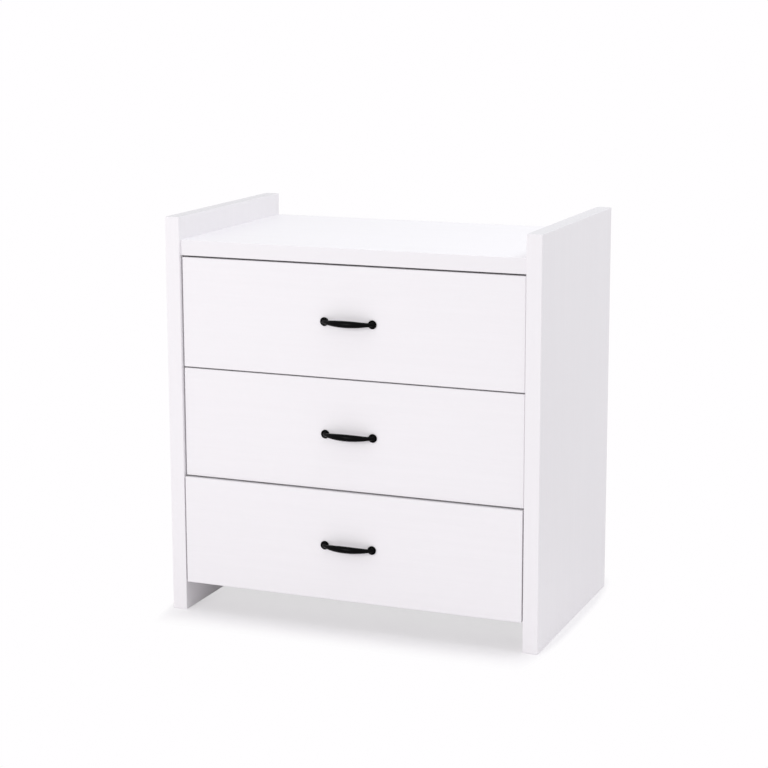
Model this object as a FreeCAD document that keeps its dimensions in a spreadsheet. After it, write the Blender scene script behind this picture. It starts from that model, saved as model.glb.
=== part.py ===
import FreeCAD, Part
import math
import os
import Sketcher

# A three-drawer changing dresser. Two thick side panels stand on the floor and rise past the
# top board, so that they edge the changing surface. Three inset fronts close drawer boxes that
# roll on sheet-metal runners, and each front has a bow handle.
#
# Lengths are in millimetres. Carcase pieces are drawn from the left front corner on the floor,
# drawer pieces from the left inner wall at the lower edge and outer face of their own front:
# X runs to the right, Y to the back and Z up.

SIZES = [
    ("overall_height", 950, "floor to the top of the side panels"),
    ("overall_width", 920, "over both side panels"),
    ("panel_depth", 550, "front to back of a side panel"),
    ("side_thickness", 36, "thickness of a side panel"),
    ("top_thickness", 36, "thickness of the top board"),
    ("top_surface_height", 896, "floor to the changing surface"),
    ("front_setback", 8, "side panels' front edge back to the top board and closed fronts"),
    ("edge_bevel", 1, "bevel of the boards' outer edges"),
    ("front_height", 260, "height of a drawer front"),
    ("front_thickness", 18, "thickness of a drawer front"),
    ("front_gap", 3, "gap between two fronts"),
    ("top_gap", 4, "gap between the top board and the upper front"),
    ("side_gap", 3, "gap between a front and a side panel"),
    ("bottom_drawer_reach", 8, "how far the bottom drawer stands open at rest"),
    ("rail_thickness", 18, "thickness of the three cross rails"),
    ("rail_height", 80, "height of the two rear rails"),
    ("front_rail_depth", 70, "front to back of the flat rail under the bottom drawer"),
    ("front_rail_gap", 4, "closed front's back face to the flat rail"),
    ("rail_floor_gap", 70, "floor to the lower rails"),
    ("back_inset", 12, "side panels' back edge to the back panel"),
    ("sheet_board", 3, "thickness of the back panel and of the drawer bottoms"),
    ("groove_depth", 6, "depth of the grooves that hold the thin boards"),
    ("groove_play", 0.1, "play of a thin board in its groove, on each face"),
    ("groove_end_play", 0.3, "play of a thin board against the end of its groove"),
    ("box_rise", 24, "lower edge of a front up to the lower edge of its box sides"),
    ("box_height", 190, "height of a drawer box"),
    ("box_length", 450, "length of a box side behind the front"),
    ("box_side_thickness", 15, "thickness of a box side"),
    ("box_back_thickness", 12, "thickness of a box back"),
    ("box_bottom_rise", 12, "lower edge of a box side up to the box bottom"),
    ("runner_space", 13, "cabinet wall to the outer face of a box side"),
    ("runner_length", 450, "length of a cabinet runner"),
    ("runner_setback", 4, "closed front's back face to the cabinet runner"),
    ("runner_sheet", 1.2, "thickness of the runners' sheet steel"),
    ("track_height", 24, "height between the two tracks that the rollers run on"),
    ("track_rise", 20, "lower edge of a box side up to its runner's track"),
    ("lower_flange", 10.5, "width of the cabinet runner's lower flange"),
    ("upper_flange", 6, "width of the cabinet runner's upper flange"),
    ("flange_play", 0.8, "drawer runner's track to the cabinet runner's upper flange"),
    ("track_wall_gap", 3.3, "cabinet wall to the edge of the drawer runner's track"),
    ("support_flange", 13.2, "width of the drawer runner's flange under the box side"),
    ("roller_diameter", 20, "diameter of a roller"),
    ("roller_width", 6, "width of a roller"),
    ("roller_wall_gap", 3.6, "cabinet wall to a roller"),
    ("front_roller_inset", 14, "front end of a cabinet runner to the axis of its roller"),
    ("rolling_gap", 0.3, "roller to the track it runs on, and to its stops"),
    ("axle_diameter", 5, "diameter of a roller's axle"),
    ("axle_collar_diameter", 8, "diameter of an axle's collar"),
    ("axle_end_play", 0.1, "play of a roller along its axle"),
    ("axle_overhang", 0.8, "how far an axle reaches past its roller"),
    ("drawer_travel", 340, "how far a closed drawer opens"),
    ("stop_ridge_height", 2.5, "height of the ridge that stops an open drawer"),
    ("stop_ridge_width", 4, "length of that ridge along the runner"),
    ("end_lug_height", 9, "height of the lug that stops a closed drawer"),
    ("fit_play", 0.05, "radial play of a pin in its hole"),
    ("bolt_thread_diameter", 6, "diameter of a joint bolt's thread"),
    ("bolt_thread_length", 11, "length of that thread in the side panel or front"),
    ("bolt_bore_diameter", 8, "bore that a joint bolt lies in"),
    ("bolt_reach", 34, "side panel to the axis of a carcase cam"),
    ("drawer_bolt_reach", 24, "front to the axis of a drawer cam"),
    ("cam_diameter", 15, "diameter of a cam"),
    ("cam_depth", 12.5, "height of a cam"),
    ("top_bolt_height", 9, "underside of the top board up to its joint bolts"),
    ("top_bolt_inset", 60, "ends of the top board's joint to its bolts"),
    ("top_dowel_inset", 110, "ends of the top board's joint to its dowels"),
    ("rail_bolt_inset", 22, "lower or front edge of a rail to its joint bolt"),
    ("rail_dowel_inset", 52, "lower or front edge of a rail to its dowel"),
    ("dowel_diameter", 8, "diameter of a wooden dowel"),
    ("dowel_half", 15, "length of a dowel in each board"),
    ("hole_spare", 1, "how much deeper a blind hole is than what it holds"),
    ("wall_hole_diameter", 6, "diameter of the two wall fixing holes"),
    ("wall_hole_spare", 1, "how much wider, all round, those holes are in the back panel"),
    ("wall_hole_spacing", 600, "distance between the two wall fixing holes"),
    ("box_cam_height", 50, "lower edge of a box side up to its lower cam"),
    ("box_cam_pitch", 90, "distance between the two cams of a box side"),
    ("handle_spacing", 118, "distance between the two rosettes of a handle"),
    ("handle_projection", 29, "drawer front to the outermost point of the grip"),
    ("rosette_diameter", 21, "diameter of a rosette"),
    ("rosette_thickness", 3.5, "thickness of a rosette"),
    ("rosette_bevel", 1.4, "bevel of a rosette's rim"),
    ("neck_distance", 12, "axis of a post to the neck of the grip"),
    ("neck_height", 17.2, "drawer front to the axis of the neck"),
    ("post_bend", 9, "radius of the bend between post and neck"),
    ("foot_height", 9, "drawer front to where a post's foot has thinned to the neck"),
    ("foot_diameter", 13.6, "diameter of a post where it leaves its rosette"),
    ("neck_diameter", 8.2, "diameter of the neck between post and grip"),
    ("grip_diameter", 15.4, "diameter of the grip at its middle"),
    ("handle_screw_diameter", 4, "diameter of a handle screw"),
    ("handle_screw_depth", 8, "length of a handle screw inside the handle"),
    ("handle_screw_head", 8, "head diameter of a handle screw"),
    ("handle_screw_head_depth", 2.4, "head thickness of a handle screw"),
    ("handle_hole_play", 0.25, "radial play of a handle screw in the front"),
]

DRAWERS = (1, 2, 3)
BOTTOM_DRAWER = DRAWERS[-1]
FACETS = 8  # sides of a small round piece that shows little, such as a dowel or a screw
TURNING_FACETS = 12  # sides of an axle and of a handle's bow
RIM_FACETS = 24  # sides of a rosette
BEND_TURNS = (0, 30, 60, 90)  # degrees round a post's bend at which it has corners
GRIP_SHARES = (-1, -0.75, -0.5, -0.25, 0, 0.25, 0.5, 0.75, 1)  # along the grip, from neck to neck

SMALLEST_CUT = 1e-3  # cubic millimetres
ON_EDGE = 0.01  # millimetres within which a corner counts as lying on a line
ON_AXIS = 1e-9  # a distance this small lies on the axis

document = FreeCAD.newDocument("changing_dresser")
sheet = document.addObject("Spreadsheet::Sheet", "sizes")


class Size:
    """A length known both as a number and as the sheet expression that gives it."""

    def __init__(self, text, value):
        self.text = text
        self.value = value

    def join(self, sign, other, value):
        return Size(f"({self.text} {sign} {as_size(other).text})", value)

    def __add__(self, other):
        return self.join("+", other, self.value + as_size(other).value)

    def __radd__(self, other):
        return as_size(other) + self

    def __sub__(self, other):
        return self.join("-", other, self.value - as_size(other).value)

    def __rsub__(self, other):
        return as_size(other) - self

    def __mul__(self, other):
        return self.join("*", other, self.value * as_size(other).value)

    def __truediv__(self, other):
        return self.join("/", other, self.value / as_size(other).value)

    def __neg__(self):
        return 0 - self

    def root(self):
        return Size(f"sqrt({self.text})", math.sqrt(self.value))


def as_size(thing):
    """Lets plain numbers stand beside sizes in a sum."""
    return thing if isinstance(thing, Size) else Size(f"{thing:.9g}", float(thing))


def fill_sheet():
    """Writes name, number and meaning of each size, and gives each number its alias."""
    named = {}
    for row, (alias, number, meaning) in enumerate(SIZES, 1):
        sheet.set(f"A{row}", alias)
        sheet.set(f"B{row}", f"{number:g}")
        sheet.set(f"C{row}", meaning)
        sheet.setAlias(f"B{row}", alias)
        named[alias] = Size(f"sizes.{alias}", float(number))
    document.recompute()
    return named


size = fill_sheet()


def bind(thing, attribute, value):
    """Ties a property of an object to the sheet."""
    thing.setExpression(attribute, as_size(value).text)


# ---------------------------------------------------------------------------------------------
# Drawing and cutting

# For each direction of extrusion: the plane that is drawn on, and whether that plane's normal
# points with (+1) or against (-1) the axis.
DRAWING_PLANES = {"X": ("YZ_Plane", 1), "Y": ("XZ_Plane", -1), "Z": ("XY_Plane", 1)}


def start_piece(label, place):
    """Makes an empty body that stands in one of the two frames."""
    body = document.addObject("PartDesign::Body", label)
    body.Label = label
    for axis, distance in zip("xyz", place):
        bind(body, f"Placement.Base.{axis}", distance)
    return body


def start_sketch(body, name, axis, start):
    """Puts a sketch square to the axis, at the distance start along it."""
    role, sign = DRAWING_PLANES[axis]
    plane = next(item for item in body.Origin.OriginFeatures if item.Role == role)
    sketch = body.newObject("Sketcher::SketchObject", f"{name}_sketch")
    sketch.AttachmentSupport = (plane, [""])
    sketch.MapMode = "FlatFace"
    bind(sketch, "AttachmentOffset.Base.z", as_size(start) * sign)
    return sketch


def point_rules(item, vertex, across, up):
    """Rules that hold a point at two distances from the sketch's origin, with their texts."""
    rules = []
    for kind, axis_line, distance in (("DistanceX", -2, across), ("DistanceY", -1, up)):
        distance = as_size(distance)
        if abs(distance.value) < ON_AXIS:
            rule = Sketcher.Constraint("PointOnObject", item, vertex, axis_line)
            rules.append((rule, None))
        else:
            rule = Sketcher.Constraint(kind, -1, 1, item, vertex, distance.value)
            rules.append((rule, distance.text))
    return rules


def apply_rules(sketch, rules):
    """Adds the rules to the sketch and ties each distance among them to the sheet."""
    first = sketch.ConstraintCount
    sketch.addConstraint([rule for rule, _ in rules])
    for number, (_, text) in enumerate(rules, first):
        if text:
            sketch.setExpression(f"Constraints[{number}]", text)


def draw_outlines(sketch, outlines):
    """Draws closed outlines, each through corners given as (across, up)."""
    rules = []
    for corners in outlines:
        points = [FreeCAD.Vector(as_size(a).value, as_size(b).value, 0) for a, b in corners]
        lines = []
        for here, there in zip(points, points[1:] + points[:1]):
            lines.append(sketch.addGeometry(Part.LineSegment(here, there)))
        for line, following in zip(lines, lines[1:] + lines[:1]):
            rules.append((Sketcher.Constraint("Coincident", line, 2, following, 1), None))
        for line, (across, up) in zip(lines, corners):
            rules += point_rules(line, 1, across, up)
    apply_rules(sketch, rules)


def draw_path(sketch, corners):
    """Draws an open line through corners given as (across, up)."""
    points = [FreeCAD.Vector(as_size(a).value, as_size(b).value, 0) for a, b in corners]
    rules = []
    for number, (here, there) in enumerate(zip(points, points[1:])):
        line = sketch.addGeometry(Part.LineSegment(here, there))
        if number:
            rules.append((Sketcher.Constraint("Coincident", line - 1, 2, line, 1), None))
        rules += point_rules(line, 1, *corners[number])
    rules += point_rules(line, 2, *corners[-1])
    apply_rules(sketch, rules)


def draw_circles(sketch, centres, diameter):
    """Draws a circle of one diameter at each centre, given as (across, up)."""
    rules = []
    for across, up in centres:
        centre = FreeCAD.Vector(as_size(across).value, as_size(up).value, 0)
        circle = Part.Circle(centre, FreeCAD.Vector(0, 0, 1), diameter.value / 2)
        number = sketch.addGeometry(circle)
        rule = Sketcher.Constraint("Diameter", number, diameter.value)
        rules.append((rule, diameter.text))
        rules += point_rules(number, 3, across, up)
    apply_rules(sketch, rules)


def facet_outline(centre, diameter, sides):
    """Corners of a many-sided outline whose corners lie on a circle."""
    across, up = centre
    turns = [2 * math.pi * (n + 0.5) / sides for n in range(sides)]
    return [
        (across + diameter * (math.cos(turn) / 2), up + diameter * (math.sin(turn) / 2))
        for turn in turns
    ]


def extrude(body, name, sketch, axis, length, cut):
    """Adds or cuts the sketch's shape along the axis, always towards its plus end."""
    against_normal = DRAWING_PLANES[axis][1] < 0
    feature = body.newObject("PartDesign::Pocket" if cut else "PartDesign::Pad", name)
    feature.Profile = sketch
    bind(feature, "Length", length)
    feature.Reversed = against_normal != cut
    return feature


def block(body, name, corner, extent, cut=False):
    """A box from its lower left front corner and its three lengths."""
    (x, y, z), (dx, dy, dz) = corner, extent
    outline = [(x, y), (x + dx, y), (x + dx, y + dy), (x, y + dy)]
    return strip(body, name, "Z", [outline], z, dz, cut)


def strip(body, name, axis, outlines, start, length, cut=False):
    """Profiles drawn square to the axis and drawn out along it."""
    sketch = start_sketch(body, name, axis, start)
    draw_outlines(sketch, outlines)
    return extrude(body, name, sketch, axis, length, cut)


def rods(body, name, axis, centres, diameter, start, length, cut=False, sides=FACETS):
    """Many-sided rods, or holes, along the axis at each centre."""
    outlines = [facet_outline(centre, as_size(diameter), sides) for centre in centres]
    return strip(body, name, axis, outlines, start, length, cut)


def round_rods(body, name, axis, centres, diameter, start, length, cut=False):
    """Round rods, or holes, along the axis at each centre."""
    sketch = start_sketch(body, name, axis, start)
    draw_circles(sketch, centres, as_size(diameter))
    return extrude(body, name, sketch, axis, length, cut)


def mirrored(body, name, span, centres, diameter, start, length, cut=False, sides=FACETS):
    """Rods along X near the left end of a span, and the same at its right end."""
    rods(body, f"{name}_left", "X", centres, diameter, start, length, cut, sides)
    rods(body, f"{name}_right", "X", centres, diameter, span - start - length, length, cut,
         sides)


def mirrored_outline(span, corners):
    """The left outline and its mirror image at the other end of the span."""
    return [corners, [(span - across, up) for across, up in corners]]


def bevel_edges(body, width_of_bevel, wanted):
    """Bevels the edges of the body that the test picks."""
    document.recompute()
    base = body.Tip
    names = [f"Edge{n}" for n, edge in enumerate(base.Shape.Edges, 1) if wanted(edge)]
    bevel = body.newObject("PartDesign::Chamfer", "bevel")
    bevel.Base = (base, names)
    bind(bevel, "Size", width_of_bevel)
    return bevel


def every_edge(edge):
    return True


def along_x(edge):
    """Picks straight edges that run from left to right."""
    return abs(edge.tangentAt(edge.FirstParameter).x) > 0.99


def hole_for(diameter):
    """The hole that a pin of this diameter fits with the named play."""
    return diameter + size["fit_play"] * 2


# ---------------------------------------------------------------------------------------------
# Places that several pieces share

width = size["overall_width"]
depth = size["panel_depth"]
wall = size["side_thickness"]
inner_width = width - wall * 2
top_underside = size["top_surface_height"] - size["top_thickness"]
setback = size["front_setback"]
sheet_metal = size["runner_sheet"]

cam_flat = size["cam_diameter"] * (math.cos(math.pi / FACETS) / 2)

# The whole object is centred front to back over its own depth, handles included.
foremost = size["handle_projection"] + size["bottom_drawer_reach"] - setback
carcase_place = (-width / 2, (foremost - depth) / 2, 0)


def front_height_above_floor(number):
    """Lower edge of a drawer front, counted from the top."""
    pitch = size["front_height"] + size["front_gap"]
    return top_underside - size["top_gap"] - size["front_height"] - pitch * (number - 1)


def drawer_place(number):
    """Frame of a drawer at rest; the bottom one stands a little open."""
    reach = size["bottom_drawer_reach"] if number == BOTTOM_DRAWER else 0
    x, y, _ = carcase_place
    return (x + wall, y + setback - reach, front_height_above_floor(number))


rear_panel_front = depth - size["back_inset"] - size["sheet_board"]
rear_rail_front = rear_panel_front - size["rail_thickness"]
rear_rail_middle = rear_rail_front + size["rail_thickness"] / 2
lower_rail_floor = size["rail_floor_gap"]
upper_rail_floor = top_underside - size["rail_height"]
rail_joint_heights = (lower_rail_floor, upper_rail_floor)
front_rail_front = setback + size["front_thickness"] + size["front_rail_gap"]
front_rail_middle = lower_rail_floor + size["rail_thickness"] / 2
top_joint_ends = ((setback, 1), (depth, -1))

# Joints between the side panels and what they carry, as (depth, height).
top_bolts = [
    (end + size["top_bolt_inset"] * way, top_underside + size["top_bolt_height"])
    for end, way in top_joint_ends
]
top_dowels = [
    (end + size["top_dowel_inset"] * way, top_underside + size["top_thickness"] / 2)
    for end, way in top_joint_ends
]
rear_bolts = [(rear_rail_middle, z + size["rail_bolt_inset"]) for z in rail_joint_heights]
rear_dowels = [(rear_rail_middle, z + size["rail_dowel_inset"]) for z in rail_joint_heights]
front_bolts = [(front_rail_front + size["rail_bolt_inset"], front_rail_middle)]
front_dowels = [(front_rail_front + size["rail_dowel_inset"], front_rail_middle)]
carcase_bolts = top_bolts + rear_bolts + front_bolts
carcase_dowels = top_dowels + rear_dowels + front_dowels
carcase_cam_columns = (wall + size["bolt_reach"], width - wall - size["bolt_reach"])
drawer_bolt_heights = (
    size["box_rise"] + size["box_cam_height"],
    size["box_rise"] + size["box_cam_height"] + size["box_cam_pitch"],
)

# Runners, in the drawer's frame unless a name says otherwise.
roller_radius = size["roller_diameter"] / 2
upper_track = size["box_rise"] + size["track_rise"]
lower_track = upper_track - size["track_height"]
channel_top = upper_track + sheet_metal * 2 + size["flange_play"]
runner_front_in_carcase = setback + size["front_thickness"] + size["runner_setback"]
runner_back_in_carcase = runner_front_in_carcase + size["runner_length"]
fixed_roller_depth = runner_front_in_carcase + size["front_roller_inset"]
fixed_roller_height = upper_track - size["rolling_gap"] - roller_radius
riding_roller_height = lower_track + size["rolling_gap"] + roller_radius
end_stop_front = runner_back_in_carcase - sheet_metal
riding_roller_closed = end_stop_front - size["rolling_gap"] - roller_radius
riding_roller_depth = riding_roller_closed - setback
roller_outer = size["roller_wall_gap"]
roller_inner = roller_outer + size["roller_width"]

# How far ahead of its axis a roller meets the ridge that stops it.
height_over_ridge = roller_radius + size["rolling_gap"] - size["stop_ridge_height"]
ridge_contact = (roller_radius * roller_radius - height_over_ridge * height_over_ridge).root()
stop_ridge_back = (
    riding_roller_closed - size["drawer_travel"] - ridge_contact - size["rolling_gap"]
)

# The box and the handle, in the drawer's frame.
box_front = size["front_thickness"]
box_back = box_front + size["box_length"]
box_outer = size["runner_space"]
box_inner = box_outer + size["box_side_thickness"]
box_side_middle = box_outer + size["box_side_thickness"] / 2
bottom_height = size["box_rise"] + size["box_bottom_rise"]
groove_width = size["sheet_board"] + size["groove_play"] * 2
drawer_bolts = [
    (across, height)
    for across in (box_side_middle, inner_width - box_side_middle)
    for height in drawer_bolt_heights
]
handle_posts = [
    ((inner_width + size["handle_spacing"] * side) / 2, size["front_height"] / 2)
    for side in (-1, 1)
]
wall_holes = [
    ((width + size["wall_hole_spacing"] * side) / 2, upper_rail_floor + size["rail_height"] / 2)
    for side in (-1, 1)
]

# ---------------------------------------------------------------------------------------------
# Carcase


def side_panel(label, left):
    """A thick panel with a groove for the back and the holes of the joints."""
    outer = as_size(0) if left else width - wall
    inner = wall if left else width - wall
    body = start_piece(label, carcase_place)
    block(body, "board", (outer, 0, 0), (wall, depth, size["overall_height"]))
    bevel_edges(body, size["edge_bevel"], every_edge)
    block(
        body,
        "back_groove",
        (inner - size["groove_depth"] if left else inner,
         rear_panel_front - size["groove_play"],
         0),
        (size["groove_depth"], groove_width, top_underside + size["groove_depth"]),
        cut=True,
    )
    joints = (
        ("bolt_holes", carcase_bolts, size["bolt_thread_diameter"], size["bolt_thread_length"]),
        ("dowel_holes", carcase_dowels, size["dowel_diameter"], size["dowel_half"]),
    )
    for name, centres, diameter, length in joints:
        deep = length + size["hole_spare"]
        rods(body, name, "X", centres, hole_for(diameter), inner - deep if left else inner,
             deep, cut=True)
    return body


def joint_bores(body, bolts, dowels):
    """Bores in both ends of a cross board for its joint bolts and dowels."""
    mirrored(body, "bolt_bores", width, bolts, size["bolt_bore_diameter"],
             wall, size["bolt_reach"], cut=True)
    mirrored(body, "dowel_bores", width, dowels, hole_for(size["dowel_diameter"]),
             wall, size["dowel_half"] + size["hole_spare"], cut=True)


def cam_centres(places):
    """Centres over the bolts' inner ends, at both ends of a cross board."""
    return [(column, place) for column in carcase_cam_columns for place in places]


def top_board():
    body = start_piece("top_board", carcase_place)
    block(body, "board", (wall, setback, top_underside),
          (inner_width, depth - setback, size["top_thickness"]))
    bevel_edges(body, size["edge_bevel"], along_x)
    block(
        body,
        "back_groove",
        (wall, rear_panel_front - size["groove_play"], top_underside),
        (inner_width, groove_width, size["groove_depth"]),
        cut=True,
    )
    joint_bores(body, top_bolts, top_dowels)
    rods(body, "cam_pockets", "Z", cam_centres([y for y, _ in top_bolts]),
         hole_for(size["cam_diameter"]), top_underside, size["cam_depth"], cut=True)
    return body


def rear_rail(label, floor, bolt, dowel):
    """An upright rail between the side panels, against the back panel."""
    body = start_piece(label, carcase_place)
    block(body, "board", (wall, rear_rail_front, floor),
          (inner_width, size["rail_thickness"], size["rail_height"]))
    joint_bores(body, [bolt], [dowel])
    rods(body, "cam_pockets", "Y", cam_centres([bolt[1]]), hole_for(size["cam_diameter"]),
         rear_rail_front, size["cam_depth"], cut=True)
    return body


def upper_rear_rail():
    """The rail that also takes the screws which hold the dresser to a wall."""
    body = rear_rail("upper_rear_rail", upper_rail_floor, rear_bolts[1], rear_dowels[1])
    round_rods(body, "wall_holes", "Y", wall_holes, size["wall_hole_diameter"],
               rear_rail_front, size["rail_thickness"], cut=True)
    return body


def lower_rear_rail():
    return rear_rail("lower_rear_rail", lower_rail_floor, rear_bolts[0], rear_dowels[0])


def front_rail():
    """A flat rail that hides behind the lower edge of the bottom front."""
    body = start_piece("front_rail", carcase_place)
    block(body, "board", (wall, front_rail_front, lower_rail_floor),
          (inner_width, size["front_rail_depth"], size["rail_thickness"]))
    joint_bores(body, front_bolts, front_dowels)
    rods(body, "cam_pockets", "Z", cam_centres([y for y, _ in front_bolts]),
         hole_for(size["cam_diameter"]), lower_rail_floor, size["cam_depth"], cut=True)
    return body


def back_panel():
    """A thin panel in the grooves of the side panels and the top board."""
    body = start_piece("back_panel", carcase_place)
    overlap = size["groove_depth"] - size["groove_end_play"]
    block(
        body,
        "board",
        (wall - overlap, rear_panel_front, lower_rail_floor),
        (inner_width + overlap * 2, size["sheet_board"],
         top_underside + overlap - lower_rail_floor),
    )
    rods(body, "wall_holes", "Y", wall_holes,
         size["wall_hole_diameter"] + size["wall_hole_spare"] * 2,
         rear_panel_front, size["sheet_board"], cut=True)
    return body


def cam_bolts():
    """Bolts screwed into the side panels; the cams draw in their other ends."""
    body = start_piece("cam_bolts", carcase_place)
    thread = size["bolt_thread_length"]
    mirrored(body, "bolts", width, carcase_bolts, size["bolt_thread_diameter"],
             wall - thread, thread + size["bolt_reach"] - cam_flat)
    return body


def cam_housings():
    """Cams in the cross boards, which draw in the joint bolts."""
    body = start_piece("cam_housings", carcase_place)
    cam_sets = (
        ("top", "Z", cam_centres([y for y, _ in top_bolts]), top_underside),
        ("rear", "Y", cam_centres([z for _, z in rear_bolts]), rear_rail_front),
        ("front", "Z", cam_centres([y for y, _ in front_bolts]), lower_rail_floor),
    )
    for name, axis, centres, face in cam_sets:
        rods(body, f"{name}_cams", axis, centres, size["cam_diameter"], face,
             size["cam_depth"])
    return body


def wood_dowels():
    body = start_piece("wood_dowels", carcase_place)
    mirrored(body, "dowels", width, carcase_dowels, size["dowel_diameter"],
             wall - size["dowel_half"], size["dowel_half"] * 2)
    return body


# ---------------------------------------------------------------------------------------------
# Runners and rollers


def cabinet_runners(number):
    """Channels on the side panels, each with a front axle, a stop ridge and an end lug."""
    body = start_piece(f"cabinet_runners_{number}", carcase_place)
    floor = front_height_above_floor(number)
    base = floor + lower_track
    top = floor + channel_top
    web = wall + sheet_metal
    lower = wall + size["lower_flange"]
    upper = wall + size["upper_flange"]
    channel = [
        (wall, base - sheet_metal),
        (lower, base - sheet_metal),
        (lower, base),
        (web, base),
        (web, top - sheet_metal),
        (upper, top - sheet_metal),
        (upper, top),
        (wall, top),
    ]
    strip(body, "channels", "Y", mirrored_outline(width, channel),
          runner_front_in_carcase, size["runner_length"])
    crossings = (
        ("stop_ridges", size["stop_ridge_height"], stop_ridge_back - size["stop_ridge_width"],
         size["stop_ridge_width"]),
        ("end_lugs", size["end_lug_height"], end_stop_front, sheet_metal),
    )
    for name, height, start, length in crossings:
        across = [(web, base), (lower, base), (lower, base + height), (web, base + height)]
        strip(body, name, "Y", mirrored_outline(width, across), start, length)
    axle = [(fixed_roller_depth, floor + fixed_roller_height)]
    collar_length = roller_outer - size["axle_end_play"] - sheet_metal
    mirrored(body, "collars", width, axle, size["axle_collar_diameter"],
             web, collar_length)
    mirrored(body, "axles", width, axle, size["axle_diameter"],
             web, roller_inner + size["axle_overhang"] - sheet_metal, sides=TURNING_FACETS)
    return body


def drawer_runners(number):
    """Bent strips on the box: support flange, web and outward track, with a rear axle."""
    body = start_piece(f"drawer_runners_{number}", drawer_place(number))
    web = box_outer - sheet_metal
    box_floor = size["box_rise"]
    section = [
        (web, box_floor - sheet_metal),
        (web + size["support_flange"], box_floor - sheet_metal),
        (web + size["support_flange"], box_floor),
        (box_outer, box_floor),
        (box_outer, upper_track + sheet_metal),
        (size["track_wall_gap"], upper_track + sheet_metal),
        (size["track_wall_gap"], upper_track),
        (web, upper_track),
    ]
    strip(body, "strips", "Y", mirrored_outline(inner_width, section),
          box_front, size["box_length"])
    axle = [(riding_roller_depth, riding_roller_height)]
    collar_start = roller_inner + size["axle_end_play"]
    mirrored(body, "collars", inner_width, axle, size["axle_collar_diameter"],
             collar_start, web - collar_start)
    axle_start = roller_outer - size["axle_overhang"]
    mirrored(body, "axles", inner_width, axle, size["axle_diameter"],
             axle_start, web - axle_start, sides=TURNING_FACETS)
    return body


def rollers(label, place, span, wall_face, centre):
    """A pair of nylon rollers, each bored for its axle."""
    body = start_piece(label, place)
    start = wall_face + roller_outer
    turnings = (
        ("rims", size["roller_diameter"], False),
        ("bores", hole_for(size["axle_diameter"]), True),
    )
    for name, diameter, cut in turnings:
        for side, face in (("left", start), ("right", span - start - size["roller_width"])):
            round_rods(body, f"{name}_{side}", "X", [centre], diameter, face,
                       size["roller_width"], cut)
    return body


def cabinet_rollers(number):
    """Rollers at the front of the cabinet runners, under the drawer's tracks."""
    centre = (fixed_roller_depth, front_height_above_floor(number) + fixed_roller_height)
    return rollers(f"cabinet_rollers_{number}", carcase_place, width, wall, centre)


def drawer_rollers(number):
    """Rollers at the rear of the drawer, on the cabinet runners' tracks."""
    centre = (riding_roller_depth, riding_roller_height)
    return rollers(f"drawer_rollers_{number}", drawer_place(number), inner_width, 0, centre)


# ---------------------------------------------------------------------------------------------
# Drawers


def drawer_front(number):
    body = start_piece(f"drawer_front_{number}", drawer_place(number))
    gap = size["side_gap"]
    thickness = size["front_thickness"]
    block(body, "board", (gap, 0, 0), (inner_width - gap * 2, thickness, size["front_height"]))
    bevel_edges(body, size["edge_bevel"], every_edge)
    groove_start = box_inner - size["groove_depth"]
    block(
        body,
        "bottom_groove",
        (groove_start, thickness - size["groove_depth"], bottom_height),
        (inner_width - groove_start * 2, size["groove_depth"], groove_width),
        cut=True,
    )
    rods(body, "handle_holes", "Y", handle_posts,
         size["handle_screw_diameter"] + size["handle_hole_play"] * 2, 0, thickness, cut=True)
    length = size["bolt_thread_length"] + size["hole_spare"]
    rods(body, "bolt_holes", "Y", drawer_bolts, hole_for(size["bolt_thread_diameter"]),
         thickness - length, length, cut=True)
    return body


def box_side(label, number, left):
    """A box side with the bottom's groove and the bores of its cams and bolts."""
    thickness = size["box_side_thickness"]
    outer = box_outer if left else inner_width - box_outer
    inner = box_inner if left else inner_width - box_inner
    middle = box_side_middle if left else inner_width - box_side_middle
    body = start_piece(label, drawer_place(number))
    block(body, "board", (outer if left else inner, box_front, size["box_rise"]),
          (thickness, size["box_length"], size["box_height"]))
    block(body, "bottom_groove",
          (inner - size["groove_depth"] if left else inner, box_front, bottom_height),
          (size["groove_depth"], size["box_length"], groove_width), cut=True)
    rods(body, "bolt_bores", "Y", [(middle, z) for z in drawer_bolt_heights],
         size["bolt_bore_diameter"], box_front, size["drawer_bolt_reach"], cut=True)
    deep = size["cam_depth"]
    rods(body, "cam_pockets", "X", drawer_cam_centres, hole_for(size["cam_diameter"]),
         outer if left else outer - deep, deep, cut=True)
    return body


def drawer_back(number):
    """Stands on the bottom, between the sides."""
    body = start_piece(f"drawer_back_{number}", drawer_place(number))
    low = bottom_height + size["sheet_board"]
    block(
        body,
        "board",
        (box_inner, box_back - size["box_back_thickness"], low),
        (inner_width - box_inner * 2, size["box_back_thickness"],
         size["box_rise"] + size["box_height"] - low),
    )
    return body


def drawer_bottom(number):
    """Slides into the grooves of the front and the sides from behind."""
    body = start_piece(f"drawer_bottom_{number}", drawer_place(number))
    overlap = size["groove_depth"] - size["groove_end_play"]
    left = box_inner - overlap
    block(
        body,
        "board",
        (left, box_front - overlap, bottom_height),
        (inner_width - left * 2, size["box_length"] + overlap, size["sheet_board"]),
    )
    return body


drawer_cam_centres = [
    (box_front + size["drawer_bolt_reach"], height) for height in drawer_bolt_heights
]


def drawer_cams(number):
    """Cams in the box sides' outer faces, which draw in the front's bolts."""
    body = start_piece(f"drawer_cams_{number}", drawer_place(number))
    mirrored(body, "cams", inner_width, drawer_cam_centres, size["cam_diameter"],
             box_outer, size["cam_depth"])
    return body


def drawer_cam_bolts(number):
    """Bolts screwed into the front; the cams draw in their other ends."""
    body = start_piece(f"drawer_cam_bolts_{number}", drawer_place(number))
    thread = size["bolt_thread_length"]
    rods(body, "bolts", "Y", drawer_bolts, size["bolt_thread_diameter"],
         box_front - thread, thread + size["drawer_bolt_reach"] - cam_flat)
    return body


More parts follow.
